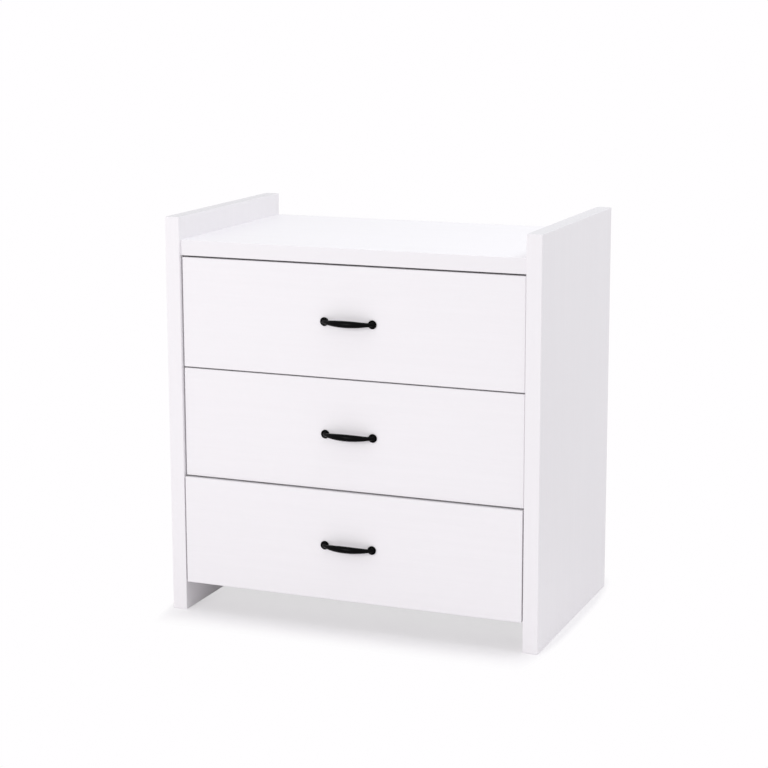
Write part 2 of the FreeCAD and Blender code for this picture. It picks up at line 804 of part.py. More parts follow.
def grip_stations():
    """Across, bow and radius of the grip at several places from neck to neck.

    Both are measured at the axis, from the left post's axis and from the neck's; they and the
    radius follow a squared cosine.
    """
    half_grip = size["handle_spacing"] / 2 - size["neck_distance"]
    bow = size["handle_projection"] - size["grip_diameter"] / 2 - size["neck_height"]
    swell = size["grip_diameter"] / 2 - size["neck_diameter"] / 2
    stations = []
    for share in GRIP_SHARES:
        rise = math.cos(math.pi * share / 2) ** 2
        across = size["handle_spacing"] / 2 + half_grip * share
        stations.append((across, bow * rise, size["neck_diameter"] / 2 + swell * rise))
    return stations


def grip_outline(turn):
    """The grip's two edges, seen square to the X axis in a plane turned about it."""
    flat = math.cos(math.pi / TURNING_FACETS)
    tilt = math.cos(turn)
    front = [(x, -(bow * tilt) - radius * flat) for x, bow, radius in grip_stations()]
    rear = [(x, radius * flat - bow * tilt) for x, bow, radius in grip_stations()]
    return front + rear[::-1]


def turned_sketch(body, name, turn, across, height):
    """A sketch in a plane that is turned about the neck's axis."""
    plane = next(item for item in body.Origin.OriginFeatures if item.Role == "XY_Plane")
    sketch = body.newObject("Sketcher::SketchObject", f"{name}_sketch")
    sketch.AttachmentSupport = (plane, [""])
    sketch.MapMode = "FlatFace"
    turned = FreeCAD.Rotation(FreeCAD.Vector(1, 0, 0), math.degrees(turn))
    sketch.AttachmentOffset = FreeCAD.Placement(FreeCAD.Vector(), turned)
    bind(sketch, "AttachmentOffset.Base.x", across)
    bind(sketch, "AttachmentOffset.Base.y", -size["neck_height"])
    bind(sketch, "AttachmentOffset.Base.z", height)
    return sketch


def swelled_grip(body, across, height):
    """The grip, cut to its outline in six directions, which leaves it twelve-sided."""
    wide = size["handle_spacing"]
    margin = [(0, -wide / 2), (wide, -wide / 2), (wide, wide / 2), (0, wide / 2)]
    for number in range(TURNING_FACETS // 2):
        turn = 2 * math.pi * number / TURNING_FACETS
        sketch = turned_sketch(body, f"grip_{number}", turn, across, height)
        outlines = [grip_outline(turn)]
        kind = "Pocket" if number else "Pad"
        if number:
            outlines.append(margin)
        draw_outlines(sketch, outlines)
        feature = body.newObject(f"PartDesign::{kind}", f"grip_{number}")
        feature.Profile = sketch
        feature.Midplane = True
        bind(feature, "Length", size["grip_diameter"] * (4 if number else 3))


def post_path(across, side):
    """From the front out along a post, round its bend and along the neck to the grip."""
    bend = size["post_bend"]
    out = size["neck_height"]
    path = [(across, 0)]
    for turn in BEND_TURNS:
        turned = math.radians(turn)
        path.append((across + bend * (side * (1 - math.cos(turned))),
                     bend * (1 - math.sin(turned)) - out))
    path.append((across + size["neck_distance"] * side, -out))
    return path


def bent_post(body, name, across, height, side):
    """A post that bends into the neck, with a foot that flares towards its rosette."""
    section = start_sketch(body, f"{name}_section", "Y", 0)
    draw_outlines(section, [facet_outline((across, height), size["neck_diameter"],
                                          TURNING_FACETS)])
    plane = next(item for item in body.Origin.OriginFeatures if item.Role == "XY_Plane")
    path = body.newObject("Sketcher::SketchObject", f"{name}_path")
    path.AttachmentSupport = (plane, [""])
    path.MapMode = "FlatFace"
    bind(path, "AttachmentOffset.Base.z", height)
    draw_path(path, post_path(across, side))
    post = body.newObject("PartDesign::AdditivePipe", f"{name}_post")
    post.Profile = section
    post.Spine = path
    post.Transition = "Right corner"


def outermost(y):
    """Picks the edges that lie at one distance from the front."""
    def test(edge):
        return all(abs(vertex.Point.y - y.value) < ON_EDGE for vertex in edge.Vertexes)
    return test


def handle(number):
    """A bow handle: rosettes, flared feet, bent posts and a grip that swells and bows."""
    body = start_piece(f"handle_{number}", drawer_place(number))
    thickness = size["rosette_thickness"]
    foot = size["foot_height"]
    swelled_grip(body, *handle_posts[0])
    rods(body, "feet", "Y", handle_posts, size["foot_diameter"], -foot, foot,
         sides=TURNING_FACETS)
    flare = bevel_edges(body, foot - thickness, outermost(-foot))
    flare.ChamferType = "Two distances"
    bind(flare, "Size2", (size["foot_diameter"] - size["neck_diameter"]) / 2)
    flare.FlipDirection = False
    rods(body, "rosettes", "Y", handle_posts, size["rosette_diameter"], -thickness, thickness,
         sides=RIM_FACETS)
    rosette_radius = size["rosette_diameter"] / 2

    def rim(edge):
        ends = [vertex.Point for vertex in edge.Vertexes]
        return outermost(-thickness)(edge) and all(
            min(math.hypot(end.x - x.value, end.z - z.value) for x, z in handle_posts)
            > rosette_radius.value - ON_EDGE for end in ends
        )

    bevel_edges(body, size["rosette_bevel"], rim)
    for name, (across, height), side in zip(("left", "right"), handle_posts, (1, -1)):
        bent_post(body, name, across, height, side)
    deep = size["handle_screw_depth"] + size["hole_spare"]
    rods(body, "screw_holes", "Y", handle_posts, hole_for(size["handle_screw_diameter"]),
         -deep, deep, cut=True)
    return body


def handle_screws(number):
    """Screws from inside the drawer through the front into the posts."""
    body = start_piece(f"handle_screws_{number}", drawer_place(number))
    inside = size["handle_screw_depth"]
    rods(body, "shanks", "Y", handle_posts, size["handle_screw_diameter"],
         -inside, inside + size["front_thickness"])
    rods(body, "heads", "Y", handle_posts, size["handle_screw_head"],
         size["front_thickness"], size["handle_screw_head_depth"])
    return body


# ---------------------------------------------------------------------------------------------
# The whole dresser

CARCASE = (
    top_board, upper_rear_rail, lower_rear_rail, front_rail, back_panel,
    cam_housings, cam_bolts, wood_dowels,
)
PER_DRAWER = (
    cabinet_runners, cabinet_rollers, drawer_runners, drawer_rollers,
    drawer_front, drawer_back, drawer_bottom, drawer_cams, drawer_cam_bolts,
    handle, handle_screws,
)


def build():
    """Makes every piece and returns their bodies."""
    pieces = [side_panel("side_panel_left", True), side_panel("side_panel_right", False)]
    pieces += [make() for make in CARCASE]
    for number in DRAWERS:
        pieces += [make(number) for make in PER_DRAWER]
        pieces.append(box_side(f"drawer_side_left_{number}", number, True))
        pieces.append(box_side(f"drawer_side_right_{number}", number, False))
    document.recompute()
    return pieces


def check(pieces):
    """Stops on a failed object, an invalid shape, or a cut that took nothing away."""
    for thing in document.Objects:
        if "Invalid" in thing.State or "Error" in thing.State:
            raise RuntimeError(f"{thing.Label} failed: {thing.State}")
        if thing.TypeId == "PartDesign::Pocket":
            removed = thing.BaseFeature.Shape.Volume - thing.Shape.Volume
            if removed < SMALLEST_CUT:
                raise RuntimeError(f"{thing.Label} cuts nothing")
    for piece in pieces:
        if piece.Shape.isNull() or not piece.Shape.isValid():
            raise RuntimeError(f"{piece.Label} has no valid shape")


def write(pieces):
    os.makedirs("parts", exist_ok=True)
    for piece in pieces:
        piece.Shape.exportStep(f"parts/{piece.Label}.step")


dresser = build()
check(dresser)
write(dresser)
print(f"{len(dresser)} pieces written")
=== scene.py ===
# %% [markdown]
# # A changing dresser, dressed for the camera
#
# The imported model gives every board, runner and roller its place. This lesson gives them
# their finishes, swaps the plain handles, cams and handle screws for detailed ones, adds the
# small screws that a model of the structure has no need of, and sets up a white studio.
# Lengths are in metres unless a name or a note says millimetres. X runs to the right, Y to
# the back and Z up, and the floor is at zero.

import math

import bmesh
import bpy
import numpy as np
from mathutils import Matrix, Vector


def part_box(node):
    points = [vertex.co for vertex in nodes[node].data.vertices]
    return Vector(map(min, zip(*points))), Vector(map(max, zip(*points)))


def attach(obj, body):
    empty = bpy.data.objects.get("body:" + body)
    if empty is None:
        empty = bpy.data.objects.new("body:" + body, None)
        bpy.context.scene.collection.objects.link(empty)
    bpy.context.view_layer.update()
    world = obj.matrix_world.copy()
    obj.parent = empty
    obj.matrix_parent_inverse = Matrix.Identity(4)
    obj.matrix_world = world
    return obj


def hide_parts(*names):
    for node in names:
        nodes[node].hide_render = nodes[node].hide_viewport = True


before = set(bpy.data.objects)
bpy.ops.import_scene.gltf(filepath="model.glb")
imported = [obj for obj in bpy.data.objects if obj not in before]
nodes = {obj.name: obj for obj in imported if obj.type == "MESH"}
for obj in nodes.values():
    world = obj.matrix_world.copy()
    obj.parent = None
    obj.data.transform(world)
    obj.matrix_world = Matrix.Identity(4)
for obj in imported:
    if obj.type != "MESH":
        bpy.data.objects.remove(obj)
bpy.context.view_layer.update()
MM = 0.001
DRAWERS = (1, 2, 3)
print("pieces in the frame:", len(nodes))

# %% [markdown]
# ## Writing shader maths as plain expressions
#
# A finish is a small network of nodes. Wiring it by hand hides the idea, so one class wraps a
# socket and lets Python's operators add the Math nodes: `1 - 0.3 * streaks` reads as it
# looks. Every other node comes from one method, which sets its options first and then its
# sockets.


# %% Sockets that can be added and multiplied
class Wire:
    """An output socket. a + b, a - b and a * b each add one Math node."""

    def __init__(self, finish, socket):
        self.finish, self.socket = finish, socket

    def _math(self, operation, first, second):
        return self.finish.node("Math", {"operation": operation}, {0: first, 1: second})

    def __add__(self, other):
        return self._math("ADD", self, other)

    __radd__ = __add__

    def __mul__(self, other):
        return self._math("MULTIPLY", self, other)

    __rmul__ = __mul__

    def __sub__(self, other):
        return self._math("SUBTRACT", self, other)

    def __rsub__(self, other):
        return self._math("SUBTRACT", other, self)


class Finish:
    """A material whose nodes are added by `node` and end in its Principled shader."""

    def __init__(self, name):
        self.material = bpy.data.materials.new(name)
        self.material.use_nodes = True
        self.tree = self.material.node_tree
        self.surface = self.tree.nodes["Principled BSDF"]

    def node(self, kind, settings=None, sockets=None, output=0):
        """Adds a node: its options first, then the values or wires of its sockets."""
        made = self.tree.nodes.new("ShaderNode" + kind)
        for option, value in (settings or {}).items():
            setattr(made, option, value)
        self.fill(made, sockets or {})
        return Wire(self, made.outputs[output])

    def fill(self, made, sockets):
        """Links each wire and writes each plain value into the node's sockets."""
        for name, value in sockets.items():
            socket = made.inputs[name]
            if isinstance(value, Wire):
                self.tree.links.new(value.socket, socket)
            else:
                socket.default_value = value

    def vector(self, operation, first, second=(0, 0, 0)):
        """One step of Vector Math; a length comes back as a number."""
        return self.node("VectorMath", {"operation": operation}, {0: first, 1: second},
                         output=1 if operation == "LENGTH" else 0)

    def noise(self, scale, detail=2.0, rough=0.5, shift=(0, 0, 0)):
        """Smooth noise from 0 to 1 whose cells are 1/scale metres along each axis."""
        point = self.node("TexCoord", output="Object")
        point = self.node("Mapping", {}, {"Vector": point, "Scale": scale,
                                          "Location": shift})
        return self.node("TexNoise", {}, {"Vector": point, "Scale": 1.0, "Detail": detail,
                                          "Roughness": rough})

    def limits(self, wire, low, high):
        """0 below low, 1 above high and a smooth step between them."""
        return self.node("MapRange", {"interpolation_type": "SMOOTHSTEP"},
                         {"Value": wire, "From Min": low, "From Max": high})

    def blend(self, share, first, second):
        """The first colour where share is 0, the second where it is 1."""
        return self.node("Mix", {"data_type": "RGBA"},
                         {"Factor": share, 6: first, 7: second}, output=2)

    def bump(self, height, distance):
        """A normal that is tilted by a height field, with its full height in metres."""
        return self.node("Bump", {}, {"Height": height, "Distance": distance,
                                      "Strength": 1.0})

    def paint(self, **sockets):
        """Fills the Principled shader; names have underscores for spaces."""
        self.fill(self.surface, {name.replace("_", " "): value
                                 for name, value in sockets.items()})
        return self.material


def colour(red, green, blue):
    """An sRGB colour from 0 to 255, as the linear values that a shader works with."""
    shares = np.array([red, green, blue]) / 255
    linear = np.where(shares > 0.04045, ((shares + 0.055) / 1.055) ** 2.4, shares / 12.92)
    return (*linear.tolist(), 1.0)


print("a white board in linear light:", [round(v, 3) for v in colour(243, 240, 243)])

# %% [markdown]
# ## White boards with a pressed grain
#
# The boards are chipboard under a white foil. Seen close, the foil has a wood grain pressed
# into it: long faint streaks that catch the light, with fine pores between them. The colour
# hardly changes, so most of it is a bump. The streaks run along each board: from left to
# right on the fronts and the top, upwards on the side panels, front to back on the drawer
# sides. A picture of foil could be laid on, but it would repeat and would need unwrapping.
# Stretched noise does neither, so one function makes the finish, and the direction is only a
# choice of three scales.


# %% The grained foil
GRAIN_DEPTH = 0.05 * MM


def grained_foil(name, along, white, edge_shades=None, gloss=0.42):
    """White foil whose grain runs along the axis numbered by `along`.

    Streaks are noise stretched 18 to 55 times along the grain, at three widths in metres.
    The relief is 0.55 of the middle ones, 0.30 of the fine and 0.15 of the broad, less 0.35 of
    the pores, which are where a finer, shorter noise is lowest. The dictionary of axes holds
    painted shade: faces whose normal lies along one of its axes, a board's edges, keep the
    share of the white given for it, in place of the shade in gaps and on grazing edges.
    """
    finish = Finish(name)

    def stretched(width, length, detail, shift):
        scale = [1 / width] * 3
        scale[along] = 1 / length
        return finish.noise(scale, detail, 0.55, shift=shift)

    broad = stretched(0.060, 1.10, 2, (3.1, 1.7, 0.4))
    streaks = stretched(0.011, 0.42, 4, (0.3, 5.2, 2.6))
    fine = stretched(0.0022, 0.12, 2, (7.7, 0.9, 4.1))
    pores = 1 - finish.limits(stretched(0.0016, 0.030, 1, (2.2, 8.4, 6.3)), 0.30, 0.42)
    relief = streaks * 0.55 + fine * 0.30 + broad * 0.15
    shade = finish.limits(relief, 0.30, 0.70)
    tone = finish.blend(shade, toned(white, 0.985), white)
    tone = finish.blend(pores * 0.04, tone, toned(white, 0.80))
    # Painted shade: each edge face is darkened to the share given for its axis.
    for axis, share in (edge_shades or {}).items():
        facing = finish.node("TexCoord", output="Normal")
        facing = finish.node("SeparateXYZ", {}, {0: finish.vector("ABSOLUTE", facing)},
                             output=axis)
        tone = finish.blend(finish.limits(facing, 0.6, 0.9), tone, toned(white, share))
    height = relief - pores * 0.35
    return finish.paint(
        Base_Color=tone,
        Roughness=gloss + (1 - shade) * 0.10 + pores * 0.08,
        Normal=finish.bump(height, GRAIN_DEPTH),
        IOR=1.47,
    )


def toned(tone, share):
    """A colour at a share of its light."""
    return tuple(channel * share for channel in tone[:3]) + (1.0,)


WHITE = colour(243, 240, 243)
BOX_WHITE = colour(240, 239, 239)
foil_across = grained_foil("white_foil_rails", 0, WHITE)
# Painted shade on edges: the fronts' top and bottom edges, in the gaps, at 0.82; the top
# board's front and back edges at 0.97; the side panels' top and bottom rims at 0.82.
foil_fronts = grained_foil("white_foil_fronts", 0, WHITE, {2: 0.82})
foil_top = grained_foil("white_foil_top", 0, WHITE, {1: 0.97})
foil_upright = grained_foil("white_foil_panels", 2, WHITE, {2: 0.82})
box_foil_deep = grained_foil("box_foil_grain_deep", 1, BOX_WHITE, gloss=0.46)
box_foil_across = grained_foil("box_foil_grain_across", 0, BOX_WHITE, gloss=0.46)
print("nodes in the fronts' foil:", len(foil_fronts.node_tree.nodes))

# %% [markdown]
# ## Metal, nylon and beech
#
# The other finishes are smaller. Handles wear a black satin powder coat, whose fine
# orange-peel skin softens its highlights. Runners are white epoxy on steel, rollers are
# nylon, cams are cast zinc, bolts are plated, and the dowels are beech with short dark
# flecks. One flat colour each would look like paper. So every one gets noise at the scale of
# its own surface, and the noise moves its colour, its gloss and its bump.


# %% Finishes of the small parts
PEEL = 0.01 * MM
FLOW_MARKS = FROST = 0.02 * MM
FLECKS = 0.03 * MM


def coated_metal(name, tone, rough, shine=0.5):
    """A coat over metal: tiny bumps about 0.4 mm wide, and uneven colour and gloss."""
    finish = Finish(name)
    skin = finish.noise([2600] * 3, 2)
    cloud = finish.noise([45] * 3, 3)
    base = finish.blend(cloud * 0.25, tone, toned(tone, 0.8))
    return finish.paint(Base_Color=base, Roughness=rough + cloud * 0.08,
                        Normal=finish.bump(skin, PEEL), Specular_IOR_Level=shine)


def moulded_nylon(name, tone):
    """Nylon with faint flow marks from its mould."""
    finish = Finish(name)
    flow = finish.noise([90, 300, 300], 3)
    base = finish.blend(flow, tone, toned(tone, 0.93))
    return finish.paint(Base_Color=base, Roughness=0.42 + flow * 0.12,
                        Normal=finish.bump(flow, FLOW_MARKS))


def zinc(name, tone, rough):
    """Plated or cast zinc: metallic, with a frosty patchiness that changes its gloss."""
    finish = Finish(name)
    frost = finish.noise([700] * 3, 3)
    base = finish.blend(frost, tone, toned(tone, 0.8))
    return finish.paint(Base_Color=base, Metallic=1.0, Roughness=rough + frost * 0.15,
                        Normal=finish.bump(frost, FROST))


def beech(name):
    """Pale beech, flecked along X."""
    finish = Finish(name)
    fleck = finish.limits(finish.noise([120, 1500, 1500], 2), 0.5, 0.72)
    base = finish.blend(fleck, colour(214, 178, 132), colour(176, 132, 88))
    return finish.paint(Base_Color=base, Roughness=0.6 + fleck * 0.1,
                        Normal=finish.bump(fleck, FLECKS))


black_coat = coated_metal("black_powder_coat", colour(3, 3, 4), 0.20, 0.06)
white_epoxy = coated_metal("white_epoxy", colour(236, 236, 234), 0.34)
nylon = moulded_nylon("white_nylon", colour(236, 235, 228))
cast_zinc = zinc("cast_zinc", colour(168, 168, 170), 0.42)
plated_zinc = zinc("plated_zinc", colour(190, 190, 192), 0.28)
beech_wood = beech("beech_wood")
print("finishes so far:", len(bpy.data.materials))

# %% [markdown]
# ## Which board wears which grain
#
# Each node could be given its finish by hand, but a name already tells what a node is. So one
# table from the start of a name to a finish dresses the whole frame and leaves nothing out.
# The longest matching start wins.

# %% Dress the frame's own pieces
FINISHES = {
    "side_panel": foil_upright,
    "top_board": foil_top,
    "upper_rear_rail": foil_across,
    "lower_rear_rail": foil_across,
    "front_rail": foil_across,
    "back_panel": box_foil_across,
    "drawer_front": foil_fronts,
    "drawer_side": box_foil_deep,
    "drawer_back": box_foil_across,
    "drawer_bottom": box_foil_across,
    "cabinet_runners": white_epoxy,
    "drawer_runners": white_epoxy,
    "cabinet_rollers": nylon,
    "drawer_rollers": nylon,
    "cam_housings": cast_zinc,
    "drawer_cams": cast_zinc,
    "cam_bolts": plated_zinc,
    "drawer_cam_bolts": plated_zinc,
    "handle_screws": plated_zinc,
    "handle": black_coat,
    "wood_dowels": beech_wood,
}


def finish_of(name):
    """The finish whose key is the longest one that the node's name starts with."""
    return FINISHES[max((key for key in FINISHES if name.startswith(key)), key=len)]


for name, piece in nodes.items():
    for slot in piece.material_slots:
        slot.material = finish_of(name)
dressed = [name for name, piece in nodes.items() if piece.material_slots]
print("dressed:", len(dressed), "of", len(nodes))

# %% [markdown]
# ## Surfaces from arrays
#
# The new pieces are all tubes or turned parts. They could be pulled out of ready-made shapes
# with modifiers, but then their sizes hide in many steps. Here every piece is a grid: a
# function of two parameters, worked out for the whole grid at once as arrays. The grid closes
# on itself one way, and one polygon closes each end.


# %% A mesh from a grid of points
def grid_piece(name, grids, finish):
    """Joins closed tubes, each an array of rings x points x 3, into one mesh.

    Quads join ring r to ring r + 1 and wrap round each ring. Each end is closed by one polygon.
    """
    corners, faces, first = [], [], 0
    for grid in grids:
        rings, around = grid.shape[:2]
        index = first + np.arange(rings * around).reshape(rings, around)
        here, there = index[:-1], index[1:]
        quads = np.stack([here, np.roll(here, -1, 1), np.roll(there, -1, 1), there], -1)
        faces += quads.reshape(-1, 4).tolist()
        faces += [index[0, ::-1].tolist(), index[-1].tolist()]
        corners.append(grid.reshape(-1, 3))
        first += rings * around
    mesh = bpy.data.meshes.new(name)
    mesh.from_pydata(np.concatenate(corners).tolist(), [], faces)
    mesh.validate()
    mesh.polygons.foreach_set("use_smooth", np.full(len(mesh.polygons), True))
    mesh.materials.append(finish)
    piece = bpy.data.objects.new(name, mesh)
    bpy.context.collection.objects.link(piece)
    return piece


def outward(piece):
    """Turns the faces of every closed shell in a piece outwards."""
    shells = bmesh.new()
    shells.from_mesh(piece.data)
    bmesh.ops.recalc_face_normals(shells, faces=shells.faces)
    shells.to_mesh(piece.data)
    shells.free()
    return piece


# %% [markdown]
# ## Bow handles
#
# The handle is one casting, and the eye goes to it first. Each rosette is turned: a flat rim,
# a rounded bead, a shallow hollow and a raised boss. The bow leaves one boss, arches over
# half an ellipse and lands on the other. It flares at its feet, is thinnest at its necks, and
# swells between them to fill the hand. A turned piece is a profile swept round an axis. A
# curve with a round bevel could make the bow, but its thickness is easier to shape in a
# formula, so the bow is a circle carried along a path, with a radius that depends on the
# place along it.


# %% The bow
SPACING, REACH = 118.0, 28.7  # mm, between the posts and out from the front
FIRST_OUT = 1.5  # mm, how far out the bow starts
FOOT, NECK, GRIP = 6.6, 4.7, 8.0  # mm, the bow's radius at its feet, necks and middle
BOW_ROUND, BOW_ALONG, ROSETTE_ROUND = 56, 120, 64  # points round and along them


def bow_path():
    """Centre line of the bow as across, out and radius, in millimetres from the left post.

    Half an ellipse: across = half spacing * (1 - cos t), out = (REACH - GRIP) * sin t. It
    starts and ends inside the rosettes, FIRST_OUT from the front. The radius is NECK, plus a
    flare of (FOOT - NECK) * exp(-(out - 2) / 2.5) at the feet, plus a swell of
    (GRIP - NECK) * sin(1.5 (t - 30 deg)) ** 1.2 from 30 to 150 degrees.
    """
    rise = REACH - GRIP
    first = math.asin(FIRST_OUT / rise)
    turn = np.linspace(first, math.pi - first, BOW_ALONG)
    across = SPACING / 2 * (1 - np.cos(turn))
    out = rise * np.sin(turn)
    swell = np.sin(1.5 * np.clip(turn - math.pi / 6, 0, 2 * math.pi / 3)) ** 1.2
    flare = np.exp(-(out - 2) / 2.5)
    return across, out, NECK + (FOOT - NECK) * flare + (GRIP - NECK) * swell


def bow_grid(left, front, height):
    """A circle square to the path at each of its points, of the path's radius."""
    across, out, radius = bow_path()
    tangent = np.stack([np.gradient(across), np.gradient(out)])
    tangent /= np.linalg.norm(tangent, axis=0)
    angle = np.linspace(0, 2 * math.pi, BOW_ROUND, endpoint=False)
    sideways, upwards = np.outer(radius, np.cos(angle)), np.outer(radius, np.sin(angle))
    x = across[:, None] - tangent[1][:, None] * sideways
    y = -(out[:, None] + tangent[0][:, None] * sideways)
    return np.stack([left + x * MM, front + np.minimum(y, 0) * MM, height + upwards * MM], -1)


print("thickest and thinnest radius in mm:", bow_path()[2].max().round(2),
      bow_path()[2].min().round(2))


# %% The rosettes, and the three handles
def at(node):
    """Lowest and highest corner of a node at rest, as arrays."""
    return [np.array(corner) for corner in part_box(node)]


def rosette_grid(centre_x, front, height):
    """Turns the rosette's profile about its axis: radius and out, both in millimetres.

    The bead is a half circle of points: radius 9.2 + cos t and out 2.2 + 1.2 sin t. The hollow
    runs in from it over h from 0 to 1: radius 8.2 - 1.1 h and out 2.2 - 0.5 sin(90 deg * h)
    + 1.6 h ** 3. Two points before and two after them make the rim and the boss.
    """
    bead = np.linspace(0, math.pi, 12)
    hollow = np.linspace(0, 1, 8)[1:]
    radius = np.concatenate([
        [9.9, 10.1], 9.2 + 1.0 * np.cos(bead), 8.2 - 1.1 * hollow, [6.8, 5.5]])
    out = np.concatenate([
        [0.0, 1.2], 2.2 + 1.2 * np.sin(bead), 2.2 - 0.5 * np.sin(math.pi * hollow / 2)
        + 1.6 * hollow ** 3, [3.6, 3.9]])
    angle = np.linspace(0, 2 * math.pi, ROSETTE_ROUND, endpoint=False)
    x, z = np.outer(radius, np.cos(angle)), np.outer(radius, np.sin(angle))
    y = np.repeat(-out[:, None], ROSETTE_ROUND, 1)
    return np.stack([centre_x + x * MM, front + y * MM, height + z * MM], -1)


for number in DRAWERS:
    low, high = at(f"handle_{number}")
    middle, height = (low[0] + high[0]) / 2, (low[2] + high[2]) / 2
    front = high[1]
    left = middle - SPACING / 2 * MM
    grids = [bow_grid(left, front, height)]
    grids += [rosette_grid(middle + side * SPACING / 2 * MM, front, height)
              for side in (-1, 1)]
    bow_handle = outward(grid_piece(f"bow_handle_{number}", grids, black_coat))
    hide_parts(f"handle_{number}")
    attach(bow_handle, f"drawer_{number}")
print("handle triangles:", sum(len(p.vertices) - 2 for p in bow_handle.data.polygons))

# %% [markdown]
# ## Parts with a driver's cross
#
# Screws hold the runners to the boards, the drawer backs between their sides, the thin back
# panel to its rails, and each handle from inside its drawer. Cams are drums that draw in the
# bolts of the board joints. All of them have a cross for a driver. A cross could be cut out
# of each head by a boolean, which leaves ragged faces. Pressing it in as a height costs
# nothing and stays closed, so one function makes them all: a profile turned about an axis,
# less the height of the cross.


# %% A turned piece with a driver's cross
HEAD_ROUND = 48


def driven_grid(radius, height, cross, centre, facing):
    """Turns a profile of radius and height, in mm, about an axis that looks along `facing`.

    Past the widest ring the height is less by the cross's depth where the smaller of |along|
    and |across| is under the half width of its arms, and the radius under its reach. The arms'
    walls slope over the outer two fifths of the half width.
    """
    half_width, reach, depth = cross
    facing = np.array(facing, float)
    side = np.cross([1.0, 0, 0] if abs(facing[2]) > 0.9 else [0, 0, 1.0], facing)
    up = np.cross(facing, side)
    angle = np.linspace(0, 2 * math.pi, HEAD_ROUND, endpoint=False)
    along, across = np.outer(radius, np.cos(angle)), np.outer(radius, np.sin(angle))
    pressed = np.clip(2.5 - 2.5 * np.minimum(abs(along), abs(across)) / half_width, 0, 1)
    on_face = (np.arange(len(radius)) > radius.argmax()) & (radius < reach)
    out = height[:, None] - depth * pressed * on_face[:, None]
    points = along[..., None] * side + across[..., None] * up + out[..., None] * facing
    return np.array(centre) + points * MM


def driven_piece(name, profile, places, finish, body):
    """One piece of many turned parts; places are (centre in metres, axis it faces)."""
    grids = [driven_grid(*profile, centre, facing) for centre, facing in places]
    piece = outward(grid_piece(name, grids, finish))
    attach(piece, body)
    return piece


def domed_head(radius, dome):
    """Profile and cross of a low head: height = dome * (1 - 0.75 * (r / radius) ** 2.4).

    The first ring is the rim's foot, at height 0. The cross reaches over 0.58 of the radius.
    """
    share = np.array([1.0, 1.0, 0.97, 0.85, 0.66, 0.60, 0.57, 0.45, 0.32, 0.20, 0.10, 0.02])
    height = dome * (1 - 0.75 * share ** 2.4)
    height[0] = 0
    return radius * share, height, (0.16 * radius, 0.58 * radius, 0.6 * dome)


print("points in a head:", driven_grid(*domed_head(3.2, 0.9), (0, 0, 0), (0, 1, 0)).shape)

# %% [markdown]
# ## Small screws
#
# Their heads are all that shows: four along each cabinet runner, two at each back corner of a
# drawer box, and two rows of five on the back panel. They could be measured in by hand, but
# then they would float when a board moves. So each row is counted from the box of the node
# that it holds.

# %% Screws of the runners, the drawer boxes and the back panel
RUNNER_HEAD, CORNER_HEAD, PANEL_HEAD = (
    domed_head(radius, dome) for radius, dome in ((3.2, 0.9), (3.9, 0.5), (3.6, 1.4)))
RUNNER_SHEET, SCREW_LINE = 1.2, 13.5  # mm, the steel and the screws' height in a runner
RUNNER_HOLES = np.array([0.040, 0.165, 0.300, 0.420])  # back from a runner's front end
CORNER_HOLES = np.array([0.055, 0.145])  # up from a drawer side's lower edge
PANEL_HOLES = np.linspace(-0.39, 0.39, 5)  # across the back panel
web = at("side_panel_right")[0][0] - RUNNER_SHEET * MM
for number in DRAWERS:
    runner_low = at(f"cabinet_runners_{number}")[0]
    middle = runner_low[2] + SCREW_LINE * MM
    depths = runner_low[1] + RUNNER_HOLES
    places = [((side * web, y, middle), (-side, 0, 0)) for side in (-1, 1) for y in depths]
    driven_piece(f"runner_screws_{number}", RUNNER_HEAD, places, plated_zinc, "carcase")
    side_low, side_high = at(f"drawer_side_right_{number}")
    heights = side_low[2] + CORNER_HOLES
    back_middle = sum(corner[1] for corner in at(f"drawer_back_{number}")) / 2
    places = [((side * side_high[0], back_middle, z), (side, 0, 0))
              for side in (-1, 1) for z in heights]
    driven_piece(f"corner_screws_{number}", CORNER_HEAD, places, plated_zinc,
                 f"drawer_{number}")

back_face = at("back_panel")[1][1]
rail_middles = [sum(corner[2] for corner in at(rail)) / 2
                for rail in ("upper_rear_rail", "lower_rear_rail")]
places = [((x, back_face, z), (0, 1, 0))
          for z in rail_middles for x in PANEL_HOLES]
driven_piece("back_panel_screws", PANEL_HEAD, places, plated_zinc, "carcase")
print("screws in the back panel:", len(places))

# %% [markdown]
# ## Handle screws
#
# Two screws come from inside the drawer, through the front and into each handle's posts.
# Their pan heads are high and flat on top. A head alone would do for the eye, but the whole
# screw is as easy: its profile starts at the far end of the shank, steps out under the head
# and ends in the middle of the cross.

# %% Pan-head screws
HEAD, SHANK = 2.4, 26.0  # mm, of the head and of the shank in the front and the post
pan_screw = (
    np.array([1.9, 2.0, 2.0, 3.9, 4.0, 3.9, 3.4, 2.6, 2.3, 2.2, 1.8, 1.2, 0.7, 0.3, 0.03]),
    np.array([-SHANK, 0.5 - SHANK, 0, 0, 0.9, 1.5, 2.1, 2.35, 2.38] + [HEAD] * 6),
    (0.62, 2.25, 1.5))
for number in DRAWERS:
    low, high = at(f"handle_screws_{number}")
    places = [(((low[0] + high[0]) / 2 + side * SPACING / 2 * MM, high[1] - HEAD * MM,
                (low[2] + high[2]) / 2), (0, 1, 0)) for side in (-1, 1)]
    pan_screws = driven_piece(f"pan_screws_{number}", pan_screw, places, plated_zinc,
                              f"drawer_{number}")
    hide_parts(f"handle_screws_{number}")
print("pan head rings:", len(pan_screw[0]))

# %% [markdown]
# ## Cams
#
# A cam is a cast drum in a bore. A driver turns it, and it draws in the end of a bolt. On an
# open drawer two of them show on each side, near the front. The drum could lie bare in its
# bore, but a thin flange on the board hides the bore's edge, as it does on the real ones. The
# profile runs from the drum's inner end, out under the flange, over it and in to the cross.

